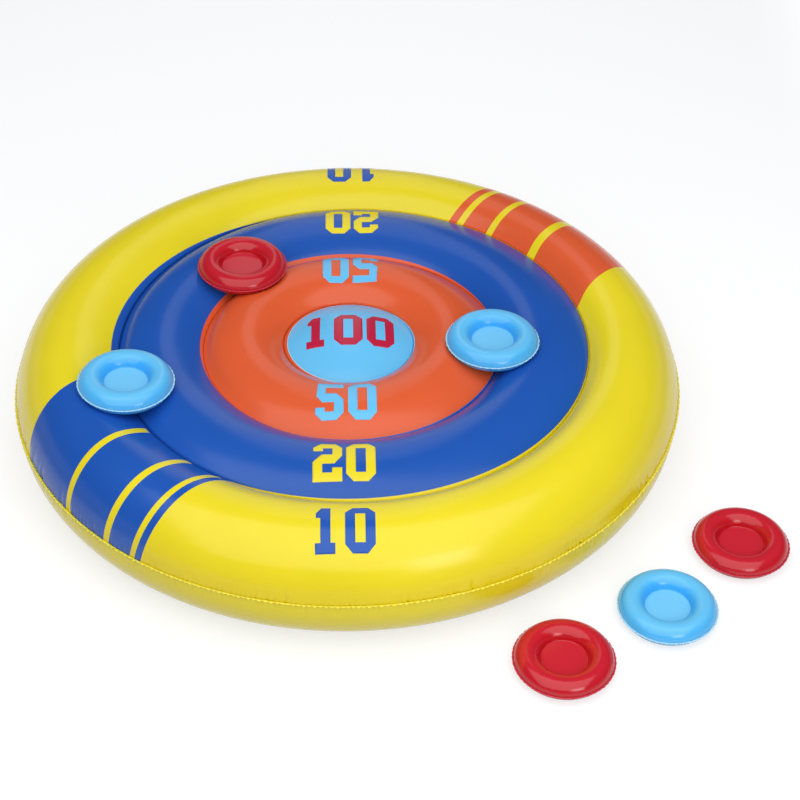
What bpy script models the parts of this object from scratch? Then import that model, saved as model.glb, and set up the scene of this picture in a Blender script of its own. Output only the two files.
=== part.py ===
# Inflatable floating target with four numbered rings, and its six inflatable tossing discs.
# Lengths in metres, +Z up. The origin is on the floor, under the middle of the target.

import math

import bmesh
import bpy
from mathutils import Matrix, Vector

# Shared by all pieces
fit_gap = 0.0003            # between pieces that touch or are welded
floor_flat_depth = 0.0005   # how deep a swollen bottom is pressed flat on the floor
cut_overrun = 0.004         # how far a cutter reaches past what it cuts

# Target: the outer tube, ring 10
tube_radius = 0.123
tube_web_share = 0.6626     # of the tube's radius, from its centre line in to its web
weld_rise = 0.017           # perimeter weld above the tube's mid height
weld_lip_width = 0.007
target_sheet = 0.001

# Target: the inner rings, drawn in at their webs
inner_web_radius = 0.136
ring_50_width = 0.182
ring_20_width = 0.1775
middle_web_half_height = 0.0865
inner_web_half_height = 0.0835
ring_20_swell = 0.026
ring_50_swell = 0.026
centre_swell = 0.031
web_sheet = 0.001
vent_radius = 0.015         # air holes through the webs

# Tossing discs
disc_radius = 0.0975        # out to the edge of the weld lip
disc_lip_width = 0.003
disc_flat_radius = 0.0445
disc_swell = 0.022          # half the height of a disc
disc_sheet = 0.0008

# Where the discs lie: three across the target's valleys, three on the floor
disc_1_inset = 0.011        # inside the outer web
disc_2_inset = 0.002        # inside the middle web
disc_3_inset = 0.014        # inside the middle web
disc_4_floor_gap = 0.0225   # clear of the target's lip
disc_5_floor_gap = 0.0485
disc_6_floor_gap = 0.085
disc_1_bearing = math.radians(203.2)
disc_2_bearing = math.radians(136.7)
disc_3_bearing = math.radians(348.8)
disc_4_bearing = math.radians(298.4)
disc_5_bearing = math.radians(315.3)
disc_6_bearing = math.radians(331.2)
steepest_lean = math.radians(12)
lean_step = math.radians(0.25)

# Target valve: seat, stem, plug on its strap, and check flap
seat_flange_radius = 0.015
seat_flange_thickness = 0.0012
seat_skirt_wall = 0.0015
seat_skirt_depth = 0.005
stem_radius = 0.006
stem_bore_radius = 0.0035
stem_length = 0.018
stem_collar_radius = 0.0075
stem_collar_thickness = 0.0015
stem_lug_reach = 0.011
stem_lug_width = 0.005
plug_cap_radius = 0.0062
plug_cap_thickness = 0.0015
plug_pin_radius = 0.0031
plug_pin_tip_radius = 0.0023
plug_pin_length = 0.005
plug_strap_width = 0.004
plug_strap_thickness = 0.0008
flap_radius = 0.0052
flap_thickness = 0.0006

# Disc valve: a flange and stem in one, with its plug
small_flange_radius = 0.006
small_flange_thickness = 0.0008
small_stem_radius = 0.003
small_bore_radius = 0.0018
small_stem_length = 0.008
small_cap_radius = 0.0032
small_cap_thickness = 0.0008
small_pin_radius = 0.0015
small_pin_tip_radius = 0.0011
small_pin_length = 0.0025
small_strap_width = 0.0024
small_strap_thickness = 0.0005

# Counts
target_segments = 40
disc_segments = 18
valve_segments = 14
small_valve_segments = 8
tube_outer_steps = 5        # weld to crest
tube_inner_steps = 3        # crest to valley
ring_steps = 4
centre_steps = 4
disc_top_steps = 6
disc_bottom_steps = 4        # an even count: half to each side of the flat
valve_segment = 10          # the far side of the target
valve_facet = 3             # the outline's points are the lip, the weld, then the tube
disc_valve_segment = 4
disc_valve_facet = 1        # next to the weld
disc_height_samples = 36

mid_height = tube_radius - floor_flat_depth
disc_mid_height = disc_swell - floor_flat_depth
middle_web_radius = inner_web_radius + ring_50_width
outer_web_radius = middle_web_radius + ring_20_width
outer_web_half_height = tube_radius * math.sqrt(1 - tube_web_share**2)
tube_centre_radius = outer_web_radius + tube_radius * tube_web_share
lip_radius = tube_centre_radius + tube_radius + weld_lip_width


def clear_scene():
    for obj in list(bpy.data.objects):
        bpy.data.objects.remove(obj)


def vinyl(name, colour, roughness=0.3):
    material = bpy.data.materials.new(name)
    material.use_nodes = True
    shader = material.node_tree.nodes["Principled BSDF"]
    shader.inputs["Base Color"].default_value = (*colour, 1)
    shader.inputs["Roughness"].default_value = roughness
    shader.inputs["Metallic"].default_value = 0
    return material


def make_materials():
    return {
        "yellow": vinyl("yellow_vinyl", (0.84, 0.70, 0.03)),
        "blue": vinyl("blue_vinyl", (0.016, 0.093, 0.52)),
        "orange": vinyl("orange_vinyl", (0.79, 0.13, 0.03)),
        "light_blue": vinyl("light_blue_vinyl", (0.13, 0.52, 1.0)),
        "red": vinyl("red_vinyl", (0.62, 0.02, 0.035)),
        "clear": vinyl("milky_valve_vinyl", (0.75, 0.78, 0.78), 0.4),
    }


# Outlines: lists of (radius, height) from the rim inwards, heights from the mid plane outwards


def spread(start, end, steps):
    return [start + (end - start) * i / steps for i in range(steps + 1)]


def tube_outline(weld_height, flat_depth):
    # The outer tube from its weld to its web, pressed flat at the crest where it stands
    first = math.asin((weld_height + fit_gap / 2 + target_sheet) / tube_radius)
    crest = math.asin(1 - flat_depth / tube_radius)
    last = math.pi - math.asin(outer_web_half_height / tube_radius)
    angles = spread(first, crest, tube_outer_steps)
    angles += spread(math.pi - crest, last, tube_inner_steps)[0 if flat_depth else 1 :]
    points = [
        (tube_centre_radius + tube_radius * math.cos(a), tube_radius * math.sin(a)) for a in angles
    ]
    return [(lip_radius, points[0][1])] + points


def ring_outline(outer, inner, swell, steps, flat_depth=0):
    # A round arc from the outer weld point to the inner one, pressed flat at the crest if it stands
    along = Vector(inner) - Vector(outer)
    chord = along.length
    up = Vector((along.y, -along.x)) / chord
    radius = (chord**2 / 4 + swell**2) / (2 * swell)
    half = math.asin(min(1, chord / 2 / radius))
    centre = (Vector(outer) + Vector(inner)) / 2 + up * (swell - radius)
    flat = math.acos(1 - flat_depth / radius)
    angles = spread(-half, half, steps)
    if flat_depth:
        angles = spread(-half, -flat, steps // 2) + spread(flat, half, steps // 2)
    points = []
    for angle in angles:
        point = centre + (along / chord * math.sin(angle) + up * math.cos(angle)) * radius
        points.append((point.x, point.y))
    return points


def centre_outline(half_height, swell, flat_depth):
    # A shallow dome from the inner web to the axis, pressed flat in the middle where it stands
    radius = (inner_web_radius**2 + swell**2) / (2 * swell)
    edge = math.asin(inner_web_radius / radius)
    flat = math.acos(1 - flat_depth / radius)
    drop = half_height + swell - radius
    points = [
        (radius * math.sin(a), drop + radius * math.cos(a)) for a in spread(edge, flat, centre_steps)
    ]
    if not flat_depth:
        points.pop()
    return points + [(0, drop + radius * math.cos(flat))]


def disc_outline(flat_depth):
    # Lip, swollen ring and flat middle of a disc, pressed flat on the side it stands on
    low = fit_gap / 2 + disc_sheet
    weld = (disc_radius - disc_lip_width, low)
    steps = disc_bottom_steps if flat_depth else disc_top_steps
    arc = ring_outline(weld, (disc_flat_radius, low), disc_swell - low, steps, flat_depth)
    return [(disc_radius, low)] + arc + [(0, low)]


def inner_side(outline, thickness):
    # The outline moved inwards by the sheet's thickness, with mitred corners
    points = [Vector(p) for p in outline]
    ways = [(q - p).normalized() for p, q in zip(points, points[1:])]
    normals = [Vector((-w.y, w.x)) for w in ways]
    moved = []
    for i, point in enumerate(points):
        before = normals[max(i - 1, 0)]
        after = normals[min(i, len(normals) - 1)]
        middle = (before + after).normalized()
        moved.append(point + middle * thickness / middle.dot(after))
    return [(p.x, p.y) for p in moved]


def sheet_section(outline, thickness):
    inside = inner_side(outline, thickness)
    if outline[-1][0] == 0:
        inside[-1] = (0, inside[-1][1])
    return outline + inside[::-1]


# Building


def turned(name, section, segments, material, middle=0, side=1):
    # Turns a section about Z. A section that starts or ends on the axis stays open there.
    mesh = bpy.data.meshes.new(name)
    bm = bmesh.new()
    verts = [bm.verts.new((r, 0, middle + side * h)) for r, h in section]
    pairs = list(zip(verts, verts[1:] + verts[:1]))
    edges = [bm.edges.new(p) for p in pairs if max(abs(p[0].co.x), abs(p[1].co.x)) > fit_gap / 10]
    bmesh.ops.spin(
        bm,
        geom=verts + edges,
        cent=(0, 0, 0),
        axis=(0, 0, 1),
        angle=2 * math.pi,
        steps=segments,
        use_merge=True,
    )
    bmesh.ops.remove_doubles(bm, verts=bm.verts, dist=fit_gap / 10)
    bmesh.ops.recalc_face_normals(bm, faces=bm.faces)
    bm.to_mesh(mesh)
    bm.free()
    mesh.materials.append(material)
    mesh.shade_smooth()
    mesh.set_sharp_from_angle(angle=math.radians(50))
    obj = bpy.data.objects.new(name, mesh)
    bpy.context.collection.objects.link(obj)
    return obj


def cutter(name, radius, length, matrix, segments):
    mesh = bpy.data.meshes.new(name)
    bm = bmesh.new()
    bmesh.ops.create_cone(
        bm, cap_ends=True, segments=segments, radius1=radius, radius2=radius, depth=length
    )
    bm.to_mesh(mesh)
    bm.free()
    obj = bpy.data.objects.new(name, mesh)
    bpy.context.collection.objects.link(obj)
    obj.matrix_world = matrix
    obj.hide_render = True
    obj.display_type = "WIRE"
    return obj


def cut(obj, tool):
    boolean = obj.modifiers.new(tool.name, "BOOLEAN")
    boolean.operation = "DIFFERENCE"
    boolean.solver = "EXACT"
    boolean.object = tool


def join_block(obj, low, high):
    # Joins a block to a turned piece with a union
    size = Vector(high) - Vector(low)
    centre = (Vector(high) + Vector(low)) / 2
    mesh = bpy.data.meshes.new(obj.name + "_block")
    bm = bmesh.new()
    bmesh.ops.create_cube(bm, size=1, matrix=Matrix.Translation(centre) @ Matrix.Diagonal((*size, 1)))
    bm.to_mesh(mesh)
    bm.free()
    block = bpy.data.objects.new(obj.name + "_block", mesh)
    bpy.context.collection.objects.link(block)
    block.matrix_world = obj.matrix_world
    block.hide_render = True
    block.display_type = "WIRE"
    union = obj.modifiers.new("join", "BOOLEAN")
    union.operation = "UNION"
    union.solver = "EXACT"
    union.object = block


def facet_frame(outline, index, segments, segment, middle, side):
    # A frame on the middle of one facet: origin on its outer face, +Z straight out of it
    half = math.pi / segments
    bearing = (segment * 2 + 1) * half
    outward = Vector((math.cos(bearing), math.sin(bearing), 0))
    ends = [
        outward * r * math.cos(half) + Vector((0, 0, middle + side * h))
        for r, h in outline[index : index + 2]
    ]
    around = Vector((-outward.y, outward.x, 0))
    along = (ends[1] - ends[0]).normalized()
    normal = around.cross(along) * side
    across = normal.cross(around)
    frame = Matrix((around, across, normal)).transposed().to_4x4()
    frame.translation = (ends[0] + ends[1]) / 2
    return frame


# Target


def target_outlines(side):
    # The panels from weld to weld, from the rim inwards: side 1 is the top, side -1 the bottom
    outer_weld = (outer_web_radius, outer_web_half_height)
    middle_weld = (middle_web_radius, middle_web_half_height)
    inner_weld = (inner_web_radius, inner_web_half_height)
    flat_depth = 0 if side > 0 else floor_flat_depth
    swell = centre_swell if side > 0 else tube_radius - inner_web_half_height
    return {
        "ring_10": tube_outline(side * weld_rise, flat_depth),
        "ring_20": ring_outline(outer_weld, middle_weld, ring_20_swell, ring_steps),
        "ring_50": ring_outline(middle_weld, inner_weld, ring_50_swell, ring_steps),
        "centre_100": centre_outline(inner_web_half_height, swell, flat_depth),
    }


def edged(outline, outer, inner):
    # The outline of a panel, drawn back by half a gap where it is welded to the next one
    points = list(outline)
    if outer:
        points[0] = (points[0][0] - fit_gap / 2, points[0][1])
    if inner:
        points[-1] = (points[-1][0] + fit_gap / 2, points[-1][1])
    return points


def make_panels(outlines, ending, side, materials):
    # The closed outer skin: four panels above in their own colours, four below
    for (name, outline), material in zip(outlines.items(), materials):
        edge = edged(outline, outer=name != "ring_10", inner=name != "centre_100")
        section = sheet_section(edge, target_sheet)
        turned(name + ending, section, target_segments, material, mid_height, side)


def cut_valve_hole(outline):
    frame = facet_frame(outline, valve_facet, target_segments, valve_segment, mid_height, -1)
    hole = cutter(
        "valve_hole_cutter",
        stem_radius + fit_gap + seat_skirt_wall + fit_gap,
        2 * (target_sheet + cut_overrun),
        frame,
        valve_segments,
    )
    cut(bpy.data.objects["ring_10_bottom"], hole)
    return frame


def make_webs(material):
    # Bands that stand between the bottom and the top panels, with air holes to each side
    reach = 2 * (outer_web_radius + cut_overrun)
    turns = (Matrix.Rotation(math.pi / 2, 4, "Y"), Matrix.Rotation(math.pi / 2, 4, "X"))
    lift = Matrix.Translation((0, 0, mid_height))
    tools = [
        cutter("vent_cutter_" + axis, vent_radius, reach, lift @ turn, valve_segments)
        for axis, turn in zip("xy", turns)
    ]
    webs = {
        "outer_web": (outer_web_radius, outer_web_half_height),
        "middle_web": (middle_web_radius, middle_web_half_height),
        "inner_web": (inner_web_radius, inner_web_half_height),
    }
    for name, (radius, half_height) in webs.items():
        high = half_height - target_sheet - fit_gap
        near, far = radius - web_sheet / 2, radius + web_sheet / 2
        section = [(far, -high), (far, high), (near, high), (near, -high)]
        web = turned(name, section, target_segments, material, mid_height)
        for tool in tools:
            cut(web, tool)


# Valves


def plug_section(cap_radius, cap_thickness, pin_radius, tip_radius, pin_length):
    return [
        (0, cap_thickness),
        (cap_radius, cap_thickness),
        (cap_radius, 0),
        (pin_radius, 0),
        (tip_radius, -pin_length),
        (0, -pin_length),
    ]


def make_plug(name, frame, height, reach, sizes, strap, segments, material):
    # The plug's origin is on its strap's hinge line, at the given reach from the valve's axis
    section = plug_section(*sizes)
    plug = turned(name, section, segments, material)
    plug.data.transform(Matrix.Translation((0, -reach, 0)))
    plug.matrix_world = frame @ Matrix.Translation((0, reach, height))
    width, thickness = strap
    overlap = sizes[0] / 2
    join_block(plug, (-width / 2, overlap - reach, 0), (width / 2, 0, thickness))


def make_target_valve(frame, clear):
    bore = stem_radius + fit_gap
    skirt = bore + seat_skirt_wall
    seat_top = fit_gap + seat_flange_thickness
    seat_section = [
        (seat_flange_radius, fit_gap),
        (seat_flange_radius, seat_top),
        (bore, seat_top),
        (bore, -seat_skirt_depth),
        (skirt, -seat_skirt_depth),
        (skirt, fit_gap),
    ]
    seat = turned("valve_seat", seat_section, valve_segments, clear)
    seat.matrix_world = frame

    collar_low = seat_top + fit_gap
    collar_top = collar_low + stem_collar_thickness
    stem_end = collar_top - stem_length
    stem_section = [
        (stem_collar_radius, collar_low),
        (stem_collar_radius, collar_top),
        (stem_bore_radius, collar_top),
        (stem_bore_radius, stem_end),
        (stem_radius, stem_end),
        (stem_radius, collar_low),
    ]
    stem = turned("valve_stem", stem_section, valve_segments, clear)
    stem.matrix_world = frame
    lug = (stem_lug_width / 2, stem_lug_reach, collar_top)
    join_block(stem, (-lug[0], (stem_radius + stem_collar_radius) / 2, collar_low), lug)

    pin = (plug_cap_radius, plug_cap_thickness, plug_pin_radius, plug_pin_tip_radius, plug_pin_length)
    strap = (plug_strap_width, plug_strap_thickness)
    hinge_height = collar_top + fit_gap
    make_plug("valve_plug", frame, hinge_height, stem_lug_reach, pin, strap, valve_segments, clear)

    flap_section = [(0, 0), (flap_radius, 0), (flap_radius, -flap_thickness), (0, -flap_thickness)]
    flap = turned("valve_flap", flap_section, valve_segments, clear)
    flap.data.transform(Matrix.Translation((0, -flap_radius, 0)))
    flap.matrix_world = frame @ Matrix.Translation((0, flap_radius, stem_end - fit_gap))


def make_disc_valve(prefix, frame, clear):
    top = fit_gap + small_flange_thickness
    section = [
        (small_flange_radius, fit_gap),
        (small_flange_radius, top),
        (small_bore_radius, top),
        (small_bore_radius, top - small_stem_length),
        (small_stem_radius, top - small_stem_length),
        (small_stem_radius, fit_gap),
    ]
    valve = turned(prefix + "_valve", section, small_valve_segments, clear)
    valve.matrix_world = frame
    pin = (
        small_cap_radius,
        small_cap_thickness,
        small_pin_radius,
        small_pin_tip_radius,
        small_pin_length,
    )
    strap = (small_strap_width, small_strap_thickness)
    name = prefix + "_plug"
    make_plug(name, frame, top + fit_gap, small_flange_radius, pin, strap, small_valve_segments, clear)


# Tossing discs


def height_on(profile, point):
    # Height of the target's faceted top over a point, from its outline of (radius, height)
    half = math.pi / target_segments
    bearing = math.atan2(point.y, point.x) % (2 * half) - half
    radius = math.hypot(point.x, point.y) * math.cos(bearing) / math.cos(half)
    for outer, inner in zip(profile, profile[1:]):
        if inner[0] <= radius <= outer[0]:
            share = (radius - inner[0]) / (outer[0] - inner[0])
            return mid_height + inner[1] + share * (outer[1] - inner[1])
    return 0


def lying_frame(profile, distance, bearing, outline):
    # Lays a disc across the target's rings: of all leans, the one that lets it lie lowest
    outward = Vector((math.cos(bearing), math.sin(bearing), 0))
    around = Vector((-outward.y, outward.x, 0))
    place = outward * distance
    samples = [
        (outward * math.cos(a) + around * math.sin(a)) * r - Vector((0, 0, h))
        for r, h in outline
        for a in spread(0, 2 * math.pi, disc_height_samples)
    ]
    best = None
    for i in range(int(-steepest_lean / lean_step), int(steepest_lean / lean_step) + 1):
        lean = Matrix.Rotation(i * lean_step, 3, around)
        turned_samples = [lean @ s for s in samples]
        height = max(height_on(profile, place + s) - s.z for s in turned_samples)
        if best is None or height < best[0]:
            best = (height, lean)
    height, lean = best
    return Matrix.Translation(place + Vector((0, 0, height + 2 * fit_gap))) @ lean.to_4x4()


def floor_frame(distance, bearing):
    place = (distance * math.cos(bearing), distance * math.sin(bearing), disc_mid_height)
    return Matrix.Translation(place)


def disc_frames(outlines):
    profile = []
    for outline in outlines.values():
        profile += outline
    under = disc_outline(floor_flat_depth)
    lies = (
        (outer_web_radius - disc_1_inset, disc_1_bearing),
        (middle_web_radius - disc_2_inset, disc_2_bearing),
        (middle_web_radius - disc_3_inset, disc_3_bearing),
    )
    stands = (
        (lip_radius + disc_4_floor_gap + disc_radius, disc_4_bearing),
        (lip_radius + disc_5_floor_gap + disc_radius, disc_5_bearing),
        (lip_radius + disc_6_floor_gap + disc_radius, disc_6_bearing),
    )
    return [lying_frame(profile, *lie, under) for lie in lies] + [floor_frame(*s) for s in stands]


def make_disc(prefix, frame, colour, clear):
    above = sheet_section(disc_outline(0), disc_sheet)
    under = disc_outline(floor_flat_depth)
    below = sheet_section(under, disc_sheet)
    upper = turned(prefix + "_top", above, disc_segments, colour)
    lower = turned(prefix + "_bottom", below, disc_segments, colour, 0, -1)
    upper.matrix_world = frame
    lower.matrix_world = frame
    valve_frame = frame @ facet_frame(
        under, disc_valve_facet, disc_segments, disc_valve_segment, 0, -1
    )
    hole = cutter(
        prefix + "_hole_cutter",
        small_stem_radius + fit_gap,
        2 * (disc_sheet + cut_overrun),
        valve_frame,
        small_valve_segments,
    )
    cut(lower, hole)
    make_disc_valve(prefix, valve_frame, clear)


def main():
    clear_scene()
    materials = make_materials()
    above, below = target_outlines(1), target_outlines(-1)
    top_colours = ("yellow", "blue", "orange", "light_blue")
    make_panels(above, "_top", 1, [materials[c] for c in top_colours])
    make_panels(below, "_bottom", -1, [materials["yellow"]] * len(below))
    valve_frame = cut_valve_hole(below["ring_10"])
    make_webs(materials["yellow"])
    make_target_valve(valve_frame, materials["clear"])
    colours = ("light_blue", "red", "light_blue", "red", "light_blue", "red")
    for number, (frame, colour) in enumerate(zip(disc_frames(above), colours), 1):
        make_disc("disc_" + str(number), frame, materials[colour], materials["clear"])


main()
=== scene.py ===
import bmesh
import bpy
import math
import numpy as np
from mathutils import Matrix, Vector


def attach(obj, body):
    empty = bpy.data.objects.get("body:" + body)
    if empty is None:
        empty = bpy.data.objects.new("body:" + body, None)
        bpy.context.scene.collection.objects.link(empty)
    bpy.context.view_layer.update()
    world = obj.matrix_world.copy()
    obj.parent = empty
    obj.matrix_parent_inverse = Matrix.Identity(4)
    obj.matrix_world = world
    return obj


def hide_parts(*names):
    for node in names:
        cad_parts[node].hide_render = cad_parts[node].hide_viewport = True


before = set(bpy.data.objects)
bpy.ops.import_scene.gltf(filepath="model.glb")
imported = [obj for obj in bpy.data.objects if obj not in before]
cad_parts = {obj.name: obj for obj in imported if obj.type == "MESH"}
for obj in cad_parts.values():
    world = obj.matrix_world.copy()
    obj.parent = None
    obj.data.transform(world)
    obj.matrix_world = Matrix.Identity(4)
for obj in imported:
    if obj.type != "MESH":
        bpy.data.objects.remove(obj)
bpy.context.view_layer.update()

# Inflatable floating target with four numbered rings, and its six inflatable tossing discs.
# Lengths in metres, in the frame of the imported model: the floor is z = 0, the target's middle x = y = 0.

print("camera")
camera = {
    "lens": 76.276,
    "sensor": 36,
    "distance": 3.65006,
    "aimHeight": 0.1,
    "elevation": 0.68162046,
    "roll": 0.01149935,
    "yaw": 0.02991824,
    "pitch": 0.01117927,
}


def turnAbout(angle, first, second):
    turn = np.eye(3)
    turn[first, first] = turn[second, second] = math.cos(angle)
    turn[first, second], turn[second, first] = -math.sin(angle), math.sin(angle)
    return turn


def addCamera(look):
    back = np.array([0, -math.cos(look["elevation"]), math.sin(look["elevation"])])
    right = np.array([1, 0, 0])
    axes = np.array([right, np.cross(back, right), back])
    axes = turnAbout(look["yaw"], 2, 0) @ axes
    axes = turnAbout(look["pitch"], 1, 2) @ axes
    axes = turnAbout(look["roll"], 0, 1) @ axes
    bpy.ops.object.camera_add(location=(0, 0, 0))
    eye = bpy.context.object
    eye.name = "photoCamera"
    eye.data.lens = look["lens"]
    eye.data.sensor_width = look["sensor"]
    place = Matrix(axes.T.tolist()).to_4x4()
    place.translation = back * look["distance"] + np.array([0, 0, look["aimHeight"]])
    eye.matrix_world = place
    bpy.context.scene.camera = eye


addCamera(camera)
bpy.context.scene.view_settings.view_transform = "Standard"


# Small helpers for modelling and materials


def deselectAll():
    for thing in bpy.context.selected_objects:
        thing.select_set(False)


def linear(hexColour):
    parts = [int(hexColour[i : i + 2], 16) / 255 for i in (1, 3, 5)]
    return (*[p / 12.92 if p <= 0.04045 else ((p + 0.055) / 1.055) ** 2.4 for p in parts], 1)


def addNode(tree, kind, settings=None, values=None, links=None):
    # settings are the node's own properties, values go to sockets, links are (from socket, to input)
    node = tree.nodes.new("ShaderNode" + kind)
    for name, setting in (settings or {}).items():
        setattr(node, name, setting)
    for name, value in (values or {}).items():
        node.inputs[name].default_value = value
    for name, source in (links or {}).items():
        tree.links.new(source, node.inputs[name])
    return node


def startMaterial(name):
    material = bpy.data.materials.new(name)
    material.use_nodes = True
    tree = material.node_tree
    shader = tree.nodes["Principled BSDF"]
    return material, tree, shader


def activate(piece):
    deselectAll()
    piece.select_set(True)
    bpy.context.view_layer.objects.active = piece


def startEdit(piece):
    # Into edit mode with everything selected
    activate(piece)
    bpy.ops.object.mode_set(mode="EDIT")
    bpy.ops.mesh.select_all(action="SELECT")


def endEdit():
    bpy.ops.object.mode_set(mode="OBJECT")


def applyModifiers(piece):
    activate(piece)
    for modifier in list(piece.modifiers):
        bpy.ops.object.modifier_apply(modifier=modifier.name)


def pointsOf(piece):
    co = np.empty(len(piece.data.vertices) * 3)
    piece.data.vertices.foreach_get("co", co)
    return co.reshape(-1, 3)


def movePoints(piece, points):
    piece.data.vertices.foreach_set("co", points.ravel())
    piece.data.update()


def polar(points):
    return np.hypot(points[:, 0], points[:, 1]), np.arctan2(points[:, 1], points[:, 0])


def placePolar(points, r, bearing):
    points[:, 0] = r * np.cos(bearing)
    points[:, 1] = r * np.sin(bearing)


def keepAbove(piece, height):
    points = pointsOf(piece)
    points[:, 2] = np.maximum(points[:, 2], height)
    movePoints(piece, points)


def settleNew(name):
    # The object just added gets its name, and its place goes into its mesh
    piece = bpy.context.object
    piece.name = piece.data.name = name
    bpy.ops.object.transform_apply(location=True, rotation=True, scale=True)
    return piece


def cutThrough(point, normal, trim=False):
    # Cuts the whole mesh being edited along a plane; trim throws away what lies past it
    bpy.ops.mesh.select_all(action="SELECT")
    bpy.ops.mesh.bisect(plane_co=point, plane_no=normal, clear_outer=trim)


def faceOutwards(piece, away):
    # away gives the outward way at a point; the whole skin is turned if most of it looks inwards
    outward = sum(face.normal.dot(away(face.center)) * face.area for face in piece.data.polygons)
    if outward < 0:
        piece.data.flip_normals()


def finishPiece(piece, body, slot, material, stands=()):
    piece.data.materials.clear()
    piece.data.materials.append(material)
    piece.data.shade_smooth()
    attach(piece, body)
    if stands:
        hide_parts(*stands)


# Profiles: the outline of each inflated panel from its inner edge outwards, and its flat sheet

target = {
    "midHeight": 0.1225,
    "tubeRadius": 0.123,
    "tubeCentre": 0.577,
    "outerWeb": 0.4955,
    "middleWeb": 0.318,
    "innerWeb": 0.136,
    "middleWebHeight": 0.0865,
    "innerWebHeight": 0.0835,
    "ringSwell": 0.026,
    "centreSwell": 0.031,
    "weldRise": 0.017,
    "sheet": 0.0005,
    "tubeFloorGap": 0.00002,
    "centreFloorGap": 0.0001,
    # points round each outline's full circle, and steps round the target
    "tubePoints": 64,
    "ringPoints": 140,
    "centrePoints": 240,
    "turnSteps": 1080,
    "ringSteps": 720,
    "centreSteps": 360,
}
webShare = (target["tubeCentre"] - target["outerWeb"]) / target["tubeRadius"]
target["outerWebHeight"] = target["tubeRadius"] * math.sqrt(1 - webShare**2)


def arcThrough(outer, inner, swell):
    # Centre and radius of the round arc that swells between two welds
    outer, inner = Vector(outer), Vector(inner)
    along = inner - outer
    up = Vector((along.y, -along.x)).normalized()
    radius = (along.length_squared / 4 + swell**2) / (2 * swell)
    centre = (outer + inner) / 2 + up * (swell - radius)
    return centre, radius


def arcProfile(centre, radius, start, end, firstFlat, samples=400):
    # Points along an arc: distance on the flat sheet, r, height, then the normal's r and height
    angles = np.linspace(start, end, samples)
    flat = firstFlat + np.abs(angles - start) * radius
    out, up = np.cos(angles), np.sin(angles)
    return np.stack([flat, centre[0] + radius * out, centre[1] + radius * up, out, up], axis=1)


def ringArc(outer, inner, swell):
    centre, radius = arcThrough(outer, inner, swell)
    start = math.atan2(inner[1] - centre.y, inner[0] - centre.x)
    end = math.atan2(outer[1] - centre.y, outer[0] - centre.x)
    return centre, radius, start, end


outerWeld = (target["outerWeb"], target["outerWebHeight"])
middleWeld = (target["middleWeb"], target["middleWebHeight"])
innerWeld = (target["innerWeb"], target["innerWebHeight"])
arcs = {
    "ring10": (
        Vector((target["tubeCentre"], 0)),
        target["tubeRadius"],
        math.pi - math.asin(target["outerWebHeight"] / target["tubeRadius"]),
        math.asin(target["weldRise"] / target["tubeRadius"]),
    ),
    "ring20": ringArc(outerWeld, middleWeld, target["ringSwell"]),
    "ring50": ringArc(middleWeld, innerWeld, target["ringSwell"]),
    "centre100": ringArc(innerWeld, (-target["innerWeb"], target["innerWebHeight"]), target["centreSwell"]),
}
arcs["centre100"] = (*arcs["centre100"][:2], math.pi / 2, arcs["centre100"][3])
firstFlats = {
    "ring10": target["outerWeb"],
    "ring20": target["middleWeb"],
    "ring50": target["innerWeb"],
    "centre100": 0,
}
profiles = {name: arcProfile(*arc, firstFlats[name]) for name, arc in arcs.items()}


# The printed sheet lies a little off centre on its webs: each crease is a circle moved by an even amount,
# amounts in x and y, and amounts twice round
creases = {
    "outerWeb": {"move": (0.0003, 0.013, -0.0035, -0.0032, 0.0006), "width": 0.03},
    "middleWeb": {"move": (-0.007, 0.007, -0.008, 0, 0), "width": 0.028},
}
target["rim"] = target["tubeCentre"] + target["tubeRadius"]
# The blown-up top stands fuller than a plain arc: (from weld, to weld, height, inner power, outer power)
fullness = [
    ("innerWeb", "middleWeb", 0.0545, 0.9, 1.47),
    ("middleWeb", "outerWeb", 0.042, 0.9, 1.8),
    ("outerWeb", "rim", 0.0344, 1.0, 0.7),
]
tiny = 1e-9     # keeps a division off zero


def creaseMove(r, bearing):
    move = 0
    for web, look in creases.items():
        even, inX, inY, twiceX, twiceY = look["move"]
        amount = even + inX * np.cos(bearing) + inY * np.sin(bearing)
        amount = amount + twiceX * np.cos(2 * bearing) + twiceY * np.sin(2 * bearing)
        move = move + amount * np.exp(-(((r - target[web]) / look["width"]) ** 2))
    return move


def fullRise(r):
    rise = 0
    for start, end, height, inner, outer in fullness:
        share = np.clip((r - target[start]) / (target[end] - target[start]), 0, 1)
        rise = rise + height * share**inner * (1 - share) ** outer
    return rise


def shapeTop(piece):
    # Blows a top panel up to its fullness, then shifts its creases
    points = pointsOf(piece)
    r, bearing = polar(points)
    points[:, 2] += fullRise(r)
    share = (r + creaseMove(r, bearing)) / np.maximum(r, tiny)
    points[:, :2] *= share[:, None]
    movePoints(piece, points)


def layOnTop(points, profile, gap):
    # Lays flat points (x, y on the sheet, height over it) on the inflated panel
    flat, bearing = polar(points)
    r = np.interp(flat, profile[:, 0], profile[:, 1])
    before = r
    for _ in range(20):     # where the point lay before the creases were shifted
        before = r - creaseMove(before, bearing)
    height, out, up = (np.interp(before, profile[:, 1], profile[:, i]) for i in (2, 3, 4))
    lift = points[:, 2] + gap
    r = r + out * lift
    z = target["midHeight"] + height + fullRise(before) + up * lift
    share = r / np.maximum(flat, tiny)
    return np.stack([points[:, 0] * share, points[:, 1] * share, z], axis=1)


def flatRadius(r, profile):
    return float(np.interp(r, profile[:, 1], profile[:, 0]))


# Materials

print("materials")
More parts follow.
